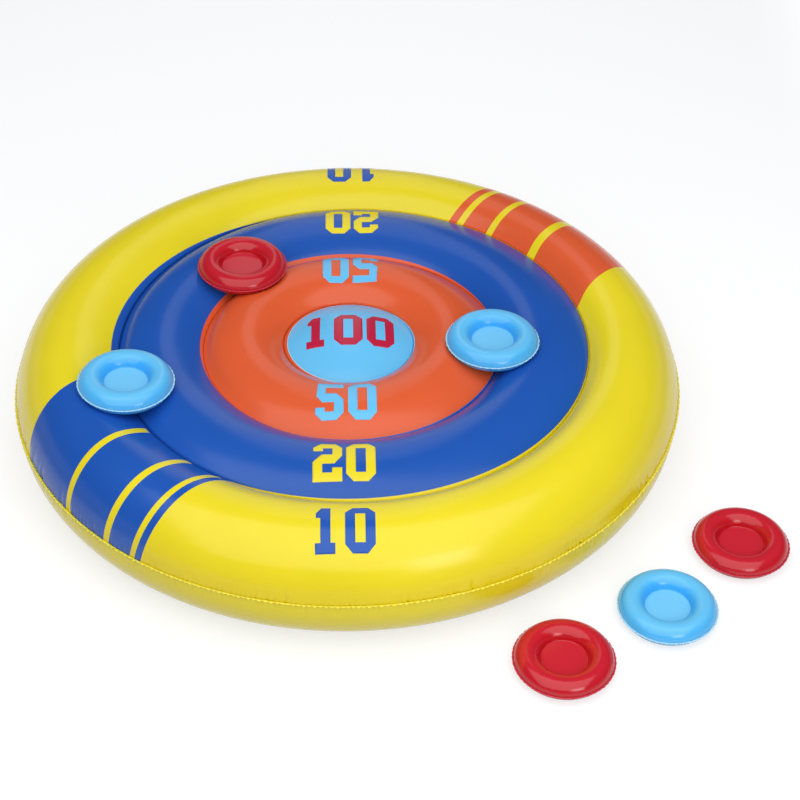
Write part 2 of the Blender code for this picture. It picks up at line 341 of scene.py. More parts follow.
# Sizes in millimetres: slow drifts of tone, waves where the skin is stretched, and the rollers' fine texture,
# which is drawn coarser than the real one so that it shows
vinyl = {
    "roughness": (0.17, 0.25),
    "ior": 1.45,
    "tone": (0.9, 1.06),
    "unevenness": 0.09,
    "grain": 0.015,
    # size, detail and roughness of the noise behind tone, waves and texture
    "noises": [(250, 3, 0.5), (111.1, 1.5, 0.4), (1.4286, 1, 0.5)],
}
discVinyl = {**vinyl, "roughness": (0.12, 0.18), "ior": 1.52, "unevenness": 0.05}


def storePaintedShading(piece, depth):
    # Painted shading for each point or for all: over 0 is painted shade near welds and in slopes, under 0 is
    # painted light where the film lies flat and in the lips
    layer = piece.data.attributes.new("paintedShading", "FLOAT", "POINT")
    depths = np.empty(len(piece.data.vertices), dtype=np.float32)
    depths[:] = depth
    layer.data.foreach_set("value", depths)


def filmWithPaintedShading(tree, hexColour, power=1):
    # The film's own dye, darkened as painted shade and lightened as painted light by the stored shading
    # attribute
    depth = addNode(tree, "Attribute", {"attribute_type": "GEOMETRY", "attribute_name": "paintedShading"})
    fac = {0: depth.outputs["Fac"]}
    gamma = addNode(tree, "Math", {"operation": "MULTIPLY_ADD"}, {1: power, 2: 1.0}, fac)
    film = addNode(tree, "Gamma", None, {"Color": linear(hexColour)}, {"Gamma": gamma.outputs[0]})
    return film.outputs["Color"]


def finishVinyl(tree, shader, colour, look=vinyl):
    # Calendered PVC film: an even glossy skin, a touch of roll texture and slow waves where air stretches it
    shader.inputs["IOR"].default_value = look["ior"]
    inSpace = {"Vector": addNode(tree, "TexCoord").outputs["Object"]}
    drift, waves, rolled = [
        addNode(
            tree, "TexNoise", None, {"Scale": 1000 / size, "Detail": detail, "Roughness": rough}, inSpace
        ).outputs["Fac"]
        for size, detail, rough in look["noises"]
    ]
    slow = {"Value": drift}
    low, high = look["roughness"]
    gloss = addNode(tree, "MapRange", None, {"To Min": low, "To Max": high}, slow)
    tree.links.new(gloss.outputs["Result"], shader.inputs["Roughness"])
    low, high = look["tone"]
    shade = addNode(tree, "MapRange", None, {"To Min": low, "To Max": high}, slow)
    tinted = addNode(
        tree,
        "Mix",
        {"data_type": "RGBA", "blend_type": "MULTIPLY"},
        {0: 1.0},
        {6: colour, 7: shade.outputs["Result"]},
    )
    tree.links.new(tinted.outputs[2], shader.inputs["Base Color"])
    broad = {"Strength": look["unevenness"], "Distance": 0.01}
    broadBump = addNode(tree, "Bump", None, broad, {"Height": waves})
    fine = {"Strength": look["grain"], "Distance": 0.001}
    fineBump = addNode(tree, "Bump", None, fine, {"Height": rolled, "Normal": broadBump.outputs["Normal"]})
    tree.links.new(fineBump.outputs["Normal"], shader.inputs["Normal"])


def plainVinyl(name, hexColour, power=1, look=vinyl):
    material, tree, shader = startMaterial(name)
    finishVinyl(tree, shader, filmWithPaintedShading(tree, hexColour, power), look)
    return material


def printCircle(tree, under, over, centre, radius, squeeze=1, edge=0.0003):
    # Ink inside a circle in plan, laid over what lies under it; squeeze narrows it in y
    space = addNode(tree, "TexCoord").outputs["Object"]
    plan = addNode(tree, "VectorMath", {"operation": "MULTIPLY"}, {1: (1, 1 / squeeze, 0)}, {0: space})
    middle = (centre[0], centre[1] / squeeze, 0)
    reach = addNode(tree, "VectorMath", {"operation": "DISTANCE"}, {1: middle}, {0: plan.outputs[0]})
    inside = addNode(
        tree,
        "MapRange",
        None,
        {"From Min": radius - edge, "From Max": radius + edge, "To Min": 1, "To Max": 0},
        {"Value": reach.outputs["Value"]},
    )
    laid = {0: inside.outputs["Result"], 6: under}
    return addNode(tree, "Mix", {"data_type": "RGBA"}, {7: linear(over)}, laid).outputs[2]


inks = {
    "yellow": "#F2DF26",
    "blue": "#1D58B8",
    "orange": "#E86135",
    "lightBlue": "#6AC8FC",
    "red": "#CC2031",
    "crimson": "#C41E44",
    "rim": "#B9E6FF",
}
# centre, radius, and how far the circle is narrowed in y
printCircles = {
    "blue": ((0.0045, -0.003), 0.4995, 0.987),
    "orange": ((0.003, -0.0025), 0.3146),
    "rim": ((0.0052, -0.0022), 0.1346),
    "lightBlue": ((0.0052, -0.0022), 0.1334),
}
# way is where the block lies; edges are where its bands start and stop across that, on the flat sheet
stripes = {
    "frontLeft": {
        "ink": "blue",
        "way": math.radians(42.61) + math.pi,
        "edges": (-0.2468, -0.0611, -0.0464, 0.0672, 0.0818, 0.1424, 0.1554, 0.17),
    },
    "backRight": {
        "ink": "orange",
        "way": math.radians(44.84),
        "edges": (-0.2721, -0.0925, -0.0717, 0.0352, 0.051, 0.1124, 0.1278, 0.1456),
    },
    "span": 0.4,
}


def printStripes(tree, under, block):
    # Straight parallel bands on the flat sheet, read from the panel's UV map, which holds the sheet in metres
    sheet = addNode(tree, "UVMap", {"uv_map": "flatSheet"}).outputs["UV"]
    way, span = block["way"], stripes["span"]
    along, across = [
        addNode(tree, "VectorMath", {"operation": "DOT_PRODUCT"}, {1: axis}, {0: sheet}).outputs["Value"]
        for axis in ((math.cos(way), math.sin(way), 0), (-math.sin(way), math.cos(way), 0))
    ]
    place = addNode(tree, "MapRange", None, {"From Min": -span, "From Max": span}, {"Value": across})
    bands = addNode(tree, "ValToRGB", links={"Fac": place.outputs["Result"]})
    ramp = bands.color_ramp
    ramp.interpolation = "CONSTANT"
    ramp.elements[0].position = 0
    ramp.elements[0].color = (0, 0, 0, 1)
    ramp.elements.remove(ramp.elements[1])
    for i, edge in enumerate(block["edges"]):
        stop = ramp.elements.new((edge + span) / (2 * span))
        stop.color = (0, 0, 0, 1) if i % 2 else (1, 1, 1, 1)
    side = addNode(tree, "Math", {"operation": "GREATER_THAN"}, {1: 0.0}, {0: along})
    onSide = {0: bands.outputs["Color"], 1: side.outputs[0]}
    inked = addNode(tree, "Math", {"operation": "MULTIPLY"}, None, onSide)
    ink = {7: linear(inks[block["ink"]])}
    return addNode(tree, "Mix", {"data_type": "RGBA"}, ink, {0: inked.outputs[0], 6: under}).outputs[2]


def printedVinyl(name, ground, circles, blocks=()):
    # Screen-printed PVC sheet: flat opaque ink with crisp edges under the film's own gloss
    material, tree, shader = startMaterial(name)
    laid = filmWithPaintedShading(tree, inks[ground])
    for block in blocks:
        laid = printStripes(tree, laid, stripes[block])
    for circle in circles:
        laid = printCircle(tree, laid, inks[circle], *printCircles[circle])
    finishVinyl(tree, shader, laid)
    return material


materials = {
    # Screen print: even, opaque ink with a crisp edge, and the film's gloss over it
    "ring10": printedVinyl("printedYellowVinyl", "yellow", ["blue"], ["frontLeft", "backRight"]),
    "ring20": printedVinyl("printedBlueVinyl", "yellow", ["blue", "orange"]),
    "ring50": printedVinyl("printedOrangeVinyl", "blue", ["orange", "rim", "lightBlue"]),
    "centre100": printedVinyl("printedLightBlueVinyl", "orange", ["rim", "lightBlue"]),
    "blue": plainVinyl("blueVinyl", inks["blue"]),
    "lightBlue": plainVinyl("lightBlueInk", inks["lightBlue"]),
    "crimson": plainVinyl("crimsonInk", inks["crimson"]),
    # Film dyed right through: a glossy colour with painted shade near the welds and in the slopes, and
    # painted light in the lips and flat tops
    "yellow": plainVinyl("yellowVinyl", inks["yellow"]),
    "lightBlueDisc": plainVinyl("lightBlueDiscVinyl", inks["lightBlue"], 1, discVinyl),
    "redDisc": plainVinyl("redDiscVinyl", inks["red"], 0.4, discVinyl),
    # Moulded soft PVC without dye: milky and a little grey
    "clear": plainVinyl("milkyValveVinyl", "#DDE3E2"),
}

yellowFilm = ("target", "yellow_vinyl", materials["yellow"])


# Target panels: an arc of a circle is spun round the target's axis, then the seam is puckered

mergeGap = 0.00001


def turnRound(piece, steps):
    # Turns an outline in the XZ plane once round the Z axis, closes it, and welds its pole
    turn = piece.modifiers.new("turn", "SCREW")
    turn.angle = 2 * math.pi
    turn.steps = turn.render_steps = steps
    turn.use_merge_vertices = True
    turn.merge_threshold = mergeGap
    applyModifiers(piece)
    startEdit(piece)
    bpy.ops.mesh.remove_doubles(threshold=mergeGap)
    bpy.ops.mesh.normals_make_consistent(inside=False)
    endEdit()


def addOutlineCircle(name, points, radius, x, z):
    # A circle that stands in the XZ plane, for its arcs
    deselectAll()
    bpy.ops.mesh.primitive_circle_add(
        vertices=points, radius=radius, location=(x, 0, z), rotation=(math.pi / 2, 0, 0)
    )
    return settleNew(name)


def spinArc(name, arc, circlePoints, cuts, steps, flip=1):
    # cuts are planes (point, normal) whose far side is thrown away
    centre, radius = arc[0], arc[1]
    height = target["midHeight"] + flip * centre[1]
    piece = addOutlineCircle(name, circlePoints, radius, centre[0], height)
    startEdit(piece)
    for point, normal in cuts:
        cutThrough(point, normal, True)
    endEdit()
    turnRound(piece, steps)
    return piece


def addRows(piece, heights):
    # Cuts more rows round the panel at these heights
    startEdit(piece)
    for height in heights:
        cutThrough((0, 0, height), (0, 0, 1))
    endEdit()


def doubleColumns(piece, low, high, least):
    # Splits the level edges of the rows between two heights, so that the puckers have enough points
    startEdit(piece)
    bpy.ops.mesh.select_all(action="DESELECT")
    bpy.ops.mesh.select_mode(type="EDGE")
    mesh = bmesh.from_edit_mesh(piece.data)
    for edge in mesh.edges:
        a, b = [end.co for end in edge.verts]
        level = abs(a.z - b.z) < mergeGap
        edge.select_set(level and low < a.z < high and math.hypot(a.x, a.y) > least)
    mesh.select_flush_mode()
    bmesh.update_edit_mesh(piece.data)
    bpy.ops.mesh.subdivide(number_cuts=1)
    endEdit()


seam = {
    "puckers": 428,
    # how the gathers' spacing and depth change round the rim: amount, times round, start
    "spacing": [(2.1, 7, 0.4), (1.3, 17, 2.1), (0.8, 41, 1.2)],
    "strength": [(0.5, 13, 1), (0.35, 29, 3), (0.3, 61, 0)],
    "weakest": 0.15,
    "depth": 0.0013,
    "reach": 0.014,
    "fadeEnd": 0.0544,
    "fadeWidth": 0.01,
    "wrinkles": 130,
    "wrinkleDepth": 0.0015,
    "wrinkleShares": (0.3, 1),
    "wrinkleWidth": 0.0042,
    "wrinkleReach": (0.016, 0.038),
    "wrinkleLean": 0.25,
    "wrinkleRadius": 0.6924,
    "lipWidth": 0.0036,
    "lipRoot": 0.002,
    "lipThickness": 0.0009,
    "ruffle": 0.0021,
    "scallop": 0.0012,
    # rows added at these distances from the weld, and the stretch round it with twice the columns
    "rows": (0.0025, 0.005, 0.0075, 0.0105, 0.014, 0.018, 0.023, 0.028),
    "fine": (-0.001, 0.03),
    # painted shade on the tube's outer side towards the seam: its strength, then how far it reaches
    "seamPaintedShade": 0.32,
    "seamPaintedShadeReach": 0.045,
    # painted light: the weld lip's colour is paled
    "lipPaintedLight": -0.3,
    "seed": 11,
}


def puckerPhase(bearing, count):
    phase = count * bearing
    for amount, times, start in seam["spacing"]:
        phase = phase + amount * np.sin(times * bearing + start)
    return phase


def gathers(bearing, count):
    # Sharp valleys between rounded pillows, more strongly drawn in at some places than at others
    strength = 1
    for amount, times, start in seam["strength"]:
        strength = strength + amount * np.sin(times * bearing + start)
    valleys = 1 - np.abs(np.sin(puckerPhase(bearing, count) / 2))
    return np.maximum(strength, seam["weakest"]) * valleys


def seamHollows(bearing, distance, side):
    # Depth of the gathers at a distance from the weld, and of the longer wrinkles that run off it
    hollow = seam["depth"] * gathers(bearing, seam["puckers"]) * np.exp(-distance / seam["reach"])
    random = np.random.default_rng(seam["seed"] + side)
    for _ in range(seam["wrinkles"]):
        place = random.uniform(-math.pi, math.pi)
        reach = random.uniform(*seam["wrinkleReach"])
        depth = seam["wrinkleDepth"] * random.uniform(*seam["wrinkleShares"])
        lean = random.uniform(-seam["wrinkleLean"], seam["wrinkleLean"])
        off = (bearing - place + math.pi) % (2 * math.pi) - math.pi
        across = (off * seam["wrinkleRadius"] - lean * distance) / seam["wrinkleWidth"]
        hollow += depth * np.exp(-(across**2)) * np.exp(-((distance / reach) ** 2))
    return hollow


def puckerSeam(piece, side):
    points = pointsOf(piece)
    r, bearing = polar(points)
    across = r - target["tubeCentre"]
    angle = np.arctan2(points[:, 2] - target["midHeight"], across)
    weldAngle = math.asin(target["weldRise"] / target["tubeRadius"])
    distance = np.abs(angle - weldAngle) * target["tubeRadius"]
    if side > 0:
        # Painted shade: the outer side of the top panel is darkened towards the seam weld
        storePaintedShading(piece, seam["seamPaintedShade"] * np.exp(-((distance / seam["seamPaintedShadeReach"]) ** 2)) * (across > 0))
    near = (distance < seam["fadeEnd"]) & (across > 0)
    fade = np.clip((seam["fadeEnd"] - distance[near]) / seam["fadeWidth"], 0, 1)
    hollow = seamHollows(bearing[near], distance[near], side) * fade
    newR = r[near] - hollow * np.cos(angle[near])
    points[near, 2] -= hollow * np.sin(angle[near])
    points[near, 0] = newR * np.cos(bearing[near])
    points[near, 1] = newR * np.sin(bearing[near])
    movePoints(piece, points)


def keepFlatSheet(piece):
    # Stores where each point was on the flat sheet, in metres, as the UV map that the stripes read
    points = pointsOf(piece)
    r, bearing = polar(points)
    angle = np.arctan2(points[:, 2] - target["midHeight"], r - target["tubeCentre"])
    flat = target["outerWeb"] + (arcs["ring10"][2] - angle) * target["tubeRadius"]
    sheet = np.stack([flat * np.cos(bearing), flat * np.sin(bearing)], axis=1)
    corners = np.empty(len(piece.data.loops), dtype=np.int64)
    piece.data.loops.foreach_get("vertex_index", corners)
    for layer in list(piece.data.uv_layers):
        piece.data.uv_layers.remove(layer)
    layer = piece.data.uv_layers.new(name="flatSheet")
    layer.data.foreach_set("uv", sheet[corners].ravel())


def wallUp(piece, thickness):
    wall = piece.modifiers.new("wall", "SOLIDIFY")
    wall.thickness = thickness
    wall.offset = -1
    applyModifiers(piece)


def awayFromTube(point):
    # The way from the tube's round centre line to the point
    r = math.hypot(point.x, point.y)
    out = (r - target["tubeCentre"]) / r
    return Vector((point.x * out, point.y * out, point.z - target["midHeight"]))


print("tossing discs' places")
discs = {
    "radius": 0.0975,
    "lipWidth": 0.003,
    "lipRoot": 0.0012,
    "lipThickness": 0.0012,
    "flatRadius": 0.0445,
    "flatMargin": 0.0005,
    "swell": 0.022,
    "floorFlat": 0.0005,
    "sheet": 0.0004,
    "weldHalf": 0.0009,
    # points round the full circle of each skin's outline, and steps round its axis
    "topPoints": 52,
    "bottomPoints": 72,
    "steps": 540,
    "bottomSteps": 400,
    "flatRows": (0.042, 0.038, 0.032, 0.022, 0.011, 0),
    "puckers": 96,
    "puckerDepth": 0.0005,
    "puckerReach": 0.005,
    "innerPuckerShare": 0.7,
    "ruffle": 0.0009,
    "scallop": 0.0008,
    "press": 0.0004,
    "pressTop": 0.01,
    # painted shade on the discs: distance from the axis, width, strength
    "paintedShading": [(0.0465, 0.0085, 0.55), (0.09, 0.008, 0.3)],
    # painted light: the flat centre's colour is lightened
    "flatPaintedLight": -0.14,
    # painted light: the disc lip's colour is paled
    "lipPaintedLight": -0.55,
    # each disc is turned on by this much more, so that no two show the same puckers
    "turnStep": 0.7,
    # middle, way up and colour: three lie on the target, three on the floor
    "places": [
        ((-0.44532, -0.19086, 0.26246), (0.04009, 0.01718, 0.99905), "lightBlue"),
        ((-0.22998, 0.21672, 0.25557), (0.01905, -0.01795, 0.99966), "red"),
        ((0.29821, -0.05905, 0.25523), (0, 0, 1), "lightBlue"),
        ((0.39334, -0.72747, 0.0215), (0, 0, 1), "red"),
        ((0.60631, -0.6, 0.0215), (0, 0, 1), "lightBlue"),
        ((0.77947, -0.42852, 0.0215), (0, 0, 1), "red"),
    ],
    "onTarget": 3,
}
discWeld = (discs["radius"] - discs["lipWidth"], discs["weldHalf"])
discArc = ringArc(discWeld, (discs["flatRadius"], discs["weldHalf"]), discs["swell"] - discs["weldHalf"])


def discUnderside(reach):
    # Height of a disc's underside over its mid plane, at a distance from its axis
    centre, radius = discArc[0], discArc[1]
    off = np.clip(np.abs(reach - centre.x) / radius, 0, 1)
    swollen = -(centre.y + radius * np.sqrt(1 - off**2))
    low = np.where(reach < discs["flatRadius"], -discs["weldHalf"], swollen)
    return np.clip(low, -discs["swell"] + discs["floorFlat"], -discs["weldHalf"])


def pressUnderDiscs(piece):
    # Where a disc lies on the rings, the soft skin gives way under it
    points = pointsOf(piece)
    for place, up, _ in discs["places"][: discs["onTarget"]]:
        up = np.array(up)
        off = points - np.array(place)
        height = off @ up
        reach = np.linalg.norm(off - height[:, None] * up, axis=1)
        under = discUnderside(reach) - discs["press"]
        pressed = (reach < discs["radius"]) & (height > under) & (height < discs["pressTop"])
        points[pressed] -= (height - under)[pressed, None] * up
    movePoints(piece, points)


print("ring 10, top and bottom")
valveFrame = Matrix(
    (
        (-0.99692, -0.04898, -0.06129, -0.05254),
        (-0.07846, 0.62233, 0.77881, 0.6676),
        (0, 0.78122, -0.62426, 0.04657),
        (0, 0, 0, 1),
    )
)
valvePatch = {"flat": 0.019, "blend": 0.045, "deep": 0.03}


def flattenAtValve(piece, where, patch):
    # The stiff round flange holds the skin flat round the valve
    points = pointsOf(piece)
    inward = np.array(where.inverted())
    local = points @ inward[:3, :3].T + inward[:3, 3]
    reach = np.hypot(local[:, 0], local[:, 1])
    hold = np.clip((patch["blend"] - reach) / (patch["blend"] - patch["flat"]), 0, 1)
    hold = hold * hold * (3 - 2 * hold)
    near = (reach < patch["blend"]) & (np.abs(local[:, 2]) < patch["deep"])
    local[near, 2] *= 1 - hold[near]
    back = np.array(where)
    points[near] = (local @ back[:3, :3].T + back[:3, 3])[near]
    movePoints(piece, points)


def makeTubePanel(name, side):
    weldHeight = target["midHeight"] + target["weldRise"]
    cuts = [((target["outerWeb"], 0, 0), (-1, 0, 0)), ((0, 0, weldHeight), (0, 0, -side))]
    piece = spinArc(name, arcs["ring10"], target["tubePoints"], cuts, target["turnSteps"])
    addRows(piece, [weldHeight + side * gap for gap in seam["rows"]])
    fine = sorted(weldHeight + side * end for end in seam["fine"])
    doubleColumns(piece, *fine, target["tubeCentre"])
    faceOutwards(piece, awayFromTube)
    if side > 0:
        keepFlatSheet(piece)
        shapeTop(piece)
    puckerSeam(piece, side)
    if side > 0:
        pressUnderDiscs(piece)
    else:
        flattenAtValve(piece, valveFrame, valvePatch)
    wallUp(piece, target["sheet"])
    if side < 0:
        keepAbove(piece, target["tubeFloorGap"])
    return piece


ring10Top = makeTubePanel("ring10Top", 1)
finishPiece(ring10Top, "target", "yellow_vinyl", materials["ring10"], ["ring_10_top"])
ring10Bottom = makeTubePanel("ring10Bottom", -1)
finishPiece(ring10Bottom, *yellowFilm, ["ring_10_bottom"])


print("perimeter weld lip")


def makeWeldLip(name, root, edge, height, steps, look):
    # A flat band of the two fused sheets, spun from a thin rectangle, then gathered by the puckers
    deselectAll()
    middle = ((root + edge) / 2, 0, height)
    bpy.ops.mesh.primitive_plane_add(size=1, location=middle, rotation=(math.pi / 2, 0, 0))
    bpy.ops.transform.resize(value=(edge - root, 1, look["lipThickness"]))
    piece = settleNew(name)
    startEdit(piece)
    bpy.ops.mesh.delete(type="ONLY_FACE")
    for share in (0.25, 0.5, 0.75):
        cutThrough((root + (edge - root) * share, 0, 0), (1, 0, 0))
    endEdit()
    turnRound(piece, steps)
    points = pointsOf(piece)
    r, bearing = polar(points)
    out = np.clip((r - root) / (edge - root), 0, 1)
    wave = puckerPhase(bearing, look["puckers"])
    points[:, 2] += look["ruffle"] * out**1.5 * np.sin(wave)
    newR = r - look["scallop"] * out**2 * (0.5 + 0.5 * np.cos(wave * 0.5 + 0.7)) ** 2
    placePolar(points, newR, bearing)
    movePoints(piece, points)
    # Painted light: the weld lip's colour is paled
    storePaintedShading(piece, look["lipPaintedLight"])
    return piece


tubeEdge = target["tubeCentre"] + math.sqrt(target["tubeRadius"] ** 2 - target["weldRise"] ** 2)
perimeterWeld = makeWeldLip(
    "perimeterWeld",
    tubeEdge - seam["lipRoot"],
    tubeEdge + seam["lipWidth"],
    target["midHeight"] + target["weldRise"],
    2 * target["turnSteps"],
    seam,
)
finishPiece(perimeterWeld, *yellowFilm)


print("rings 20 and 50 and the centre")


def makeRingPanel(name, arcName, outer, inner, side):
    along = Vector((outer[0] - inner[0], 0, side * (outer[1] - inner[1])))
    down = Vector((along.z, 0, -along.x)).normalized() * side
    cuts = [((outer[0], 0, target["midHeight"] + side * outer[1]), tuple(down))]
    piece = spinArc(name, arcs[arcName], target["ringPoints"], cuts, target["ringSteps"], side)
    faceOutwards(piece, lambda point: Vector((0, 0, side)))
    if side > 0:
        shapeTop(piece)
        pressUnderDiscs(piece)
    wallUp(piece, target["sheet"])
    return piece


def makeCentrePanel(name, side):
    web, high = target["innerWeb"], target["innerWebHeight"]
    # Below, the centre swells right down to the floor
    arc = arcs["centre100"] if side > 0 else ringArc(innerWeld, (-web, high), target["tubeRadius"] - high)
    cuts = [((web, 0, target["midHeight"] + side * high), (0, 0, -side)), ((0, 0, 0), (-1, 0, 0))]
    piece = spinArc(name, arc, target["centrePoints"], cuts, target["centreSteps"], side)
    faceOutwards(piece, lambda point: Vector((0, 0, side)))
    if side < 0:
        keepAbove(piece, target["centreFloorGap"])
    wallUp(piece, target["sheet"])
    return piece


ringPanels = [
    ("ring20", outerWeld, middleWeld, "ring_20", "blue_vinyl"),
    ("ring50", middleWeld, innerWeld, "ring_50", "orange_vinyl"),
]
for arcName, outer, inner, node, slot in ringPanels:
    top = makeRingPanel(arcName + "Top", arcName, outer, inner, 1)
    finishPiece(top, "target", slot, materials[arcName], [node + "_top"])
    bottom = makeRingPanel(arcName + "Bottom", arcName, outer, inner, -1)
    finishPiece(bottom, *yellowFilm, [node + "_bottom"])
centreTop = makeCentrePanel("centre100Top", 1)
finishPiece(centreTop, "target", "light_blue_vinyl", materials["centre100"], ["centre_100_top"])
centreBottom = makeCentrePanel("centre100Bottom", -1)
finishPiece(centreBottom, *yellowFilm, ["centre_100_bottom"])

for node in ("outer_web", "middle_web", "inner_web"):
    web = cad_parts[node]
    web.data.materials.clear()
    web.data.materials.append(materials["yellow"])


print("printed numbers")
# Outlines in shares of a digit's width and height, counter-clockwise, then the hole where there is one
digitShares = {
    "0": [
        [(0.25, 0), (0.75, 0), (1, 0.17), (1, 0.85), (0.75, 1), (0.25, 1), (0, 0.85), (0, 0.17)],
        [(0.33, 0.2), (0.33, 0.83), (0.67, 0.83), (0.67, 0.2)],
    ],
    "1": [
        [
            (0, 0), (1, 0), (1, 0.2), (0.77, 0.2), (0.77, 1), (0.32, 1), (0.05, 0.84), (0.05, 0.72),
            (0.27, 0.72), (0.27, 0.2), (0, 0.2),
        ],
    ],
    "2": [
        [
            (0, 0), (1, 0), (1, 0.31), (0.66, 0.31), (0.66, 0.2), (0.33, 0.2), (0.33, 0.4), (0.74, 0.4),
            (1, 0.6), (1, 0.85), (0.77, 1), (0.27, 1), (0.02, 0.85), (0.02, 0.735), (0.35, 0.735),
            (0.35, 0.83), (0.67, 0.83), (0.67, 0.635), (0.3, 0.635), (0, 0.44),
        ],
    ],
    "5": [
        [
            (0.24, 0), (0.73, 0), (0.98, 0.15), (0.98, 0.45), (0.74, 0.63), (0.37, 0.63), (0.37, 0.82),
            (0.99, 0.82), (1, 1), (0.1, 1), (0.05, 0.55), (0.25, 0.39), (0.65, 0.39), (0.65, 0.18),
            (0.34, 0.18), (0.33, 0.275), (0.02, 0.275), (0, 0.15),
        ],
    ],
}
# digits are (shape, middle x, width); ends are the plan distances of their tops and bases from the middle
numbers = {
    "number10": {
        "digits": [("1", -0.0476, 0.0376), ("0", 0.0176, 0.0563)],
        "ends": (0.5576, 0.6525),
        "panel": "ring10",
        "ink": "blue",
    },
    "number20": {
        "digits": [("2", -0.0438, 0.0575), ("0", 0.0211, 0.0575)],
        "ends": (0.3624, 0.4624),
        "panel": "ring20",
        "ink": "yellow",
    },
    "number50": {
        "digits": [("5", -0.0403, 0.0595), ("0", 0.0267, 0.0585)],
        "ends": (0.1753, 0.2801),
        "panel": "ring50",
        "ink": "lightBlue",
    },
    "number100": {
        "digits": [("1", -0.0705, 0.0385), ("0", -0.0005, 0.0606), ("0", 0.068, 0.0594)],
        "ends": (-0.0655, 0.0432),
        "panel": "centre100",
        "ink": "crimson",
    },
}
inkFilm = {"gap": 0.0002, "thickness": 0.0001, "cell": 0.004, "weld": 1e-6}
inkSlots = {
    "blue": "blue_vinyl",
    "yellow": "yellow_vinyl",
    "lightBlue": "light_blue_vinyl",
    "crimson": "red_vinyl",
}


def makeNumber(name, look, turned):
    # Flat outlines are filled, cut into small cells and laid on the inflated panel
    profile = profiles[look["panel"]]
    top, base = [math.copysign(flatRadius(abs(end), profile), end) for end in look["ends"]]
    curve = bpy.data.curves.new(name, "CURVE")
    curve.dimensions = "2D"
    curve.fill_mode = "BOTH"
    for shape, middle, width in look["digits"]:
        for outline in digitShares[shape]:
            spline = curve.splines.new("POLY")
            spline.points.add(len(outline) - 1)
            for point, (x, y) in zip(spline.points, outline):
                point.co = (middle + (x - 0.5) * width, -base + y * (base - top), 0, 1)
            spline.use_cyclic_u = True
    piece = bpy.data.objects.new(name, curve)
    bpy.context.scene.collection.objects.link(piece)
    activate(piece)
    bpy.ops.object.convert(target="MESH")
    piece = bpy.context.object
    startEdit(piece)
    corners = [v.co for v in bmesh.from_edit_mesh(piece.data).verts]
    for axis, normal in enumerate(((1, 0, 0), (0, 1, 0))):
        low, high = min(c[axis] for c in corners), max(c[axis] for c in corners)
        for i in range(1, math.ceil((high - low) / inkFilm["cell"])):
            at = low + i * inkFilm["cell"]
            cutThrough((at, at, 0), normal)
    bpy.ops.mesh.select_all(action="SELECT")
    bpy.ops.mesh.remove_doubles(threshold=inkFilm["weld"])
    endEdit()
    points = pointsOf(piece)
    if turned:
        points[:, :2] *= -1
    movePoints(piece, layOnTop(points, profile, inkFilm["gap"]))
    faceOutwards(piece, lambda point: Vector((0, 0, 1)))
    wallUp(piece, inkFilm["thickness"])
    finishPiece(piece, "target", inkSlots[look["ink"]], materials[look["ink"]])


for name, look in numbers.items():
    makeNumber(name + "Near", look, False)
    if look["panel"] != "centre100":
        makeNumber(name + "Far", look, True)


print("tossing discs")
discValveFrame = Matrix(
    (
        (-1, 0, 0, 0),
        (0, 0.44857, 0.89375, 0.08971),
        (0, 0.89375, -0.44857, -0.00763),
        (0, 0, 0, 1),
    )
)
discValvePatch = {"flat": 0.0066, "blend": 0.0125, "deep": 0.004}


def makeDiscSkin(name, side, outlinePoints, steps):
    centre, radius = discArc[0], discArc[1]
    piece = addOutlineCircle(name, outlinePoints, radius, centre.x, side * centre.y)
    startEdit(piece)
    cutThrough((0, 0, side * discs["weldHalf"]), (0, 0, -side), True)
    bpy.ops.mesh.select_mode(type="VERT")
    bpy.ops.mesh.select_all(action="DESELECT")
    inmost = min(bmesh.from_edit_mesh(piece.data).verts, key=lambda v: v.co.x)
    inmost.select_set(True)
    at = inmost.co.x
    for reach in discs["flatRows"]:
        bpy.ops.mesh.extrude_vertices_move(TRANSFORM_OT_translate={"value": (reach - at, 0, 0)})
        at = reach
    endEdit()
    turnRound(piece, steps)
    faceOutwards(piece, lambda point: Vector((0, 0, side)))
    # Painted shade round the foot of the inner slope and near the outer weld, painted light on the flat
    # centre
    r, _ = polar(pointsOf(piece))
    depth = sum(deep * np.exp(-(((r - at) / width) ** 2)) for at, width, deep in discs["paintedShading"])
    flat = r < discs["flatRadius"] - 2 * discs["flatMargin"]
    storePaintedShading(piece, np.where(flat, discs["flatPaintedLight"], depth))
    puckerDisc(piece, side)
    if side < 0:
        flattenAtValve(piece, discValveFrame, discValvePatch)
    wallUp(piece, discs["sheet"])
    return piece


def puckerDisc(piece, side):
    # Gathers beside both welds of the swollen ring
    points = pointsOf(piece)
    r, bearing = polar(points)
    centre = discArc[0]
    angle = np.arctan2(points[:, 2] - side * centre.y, r - centre.x)
    rise = np.abs(points[:, 2]) - discs["weldHalf"]
    swollen = r > discs["flatRadius"] - discs["flatMargin"]
    share = np.where(r > centre.x, 1, np.where((r < centre.x) & swollen, discs["innerPuckerShare"], 0))
    fade = share * np.exp(-rise / discs["puckerReach"])
    hollow = discs["puckerDepth"] * gathers(bearing, discs["puckers"]) * fade
    newR = r - hollow * np.cos(angle)
    points[:, 2] -= hollow * np.sin(angle) * swollen
    placePolar(points, newR, bearing)
    movePoints(piece, points)
    if side < 0:
        keepAbove(piece, -discs["swell"] + discs["floorFlat"])


discTop = makeDiscSkin("discTop", 1, discs["topPoints"], discs["steps"])
discBottom = makeDiscSkin("discBottom", -1, discs["bottomPoints"], discs["bottomSteps"])
discLip = makeWeldLip("discLip", discWeld[0] - discs["lipRoot"], discs["radius"], 0, discs["steps"], discs)


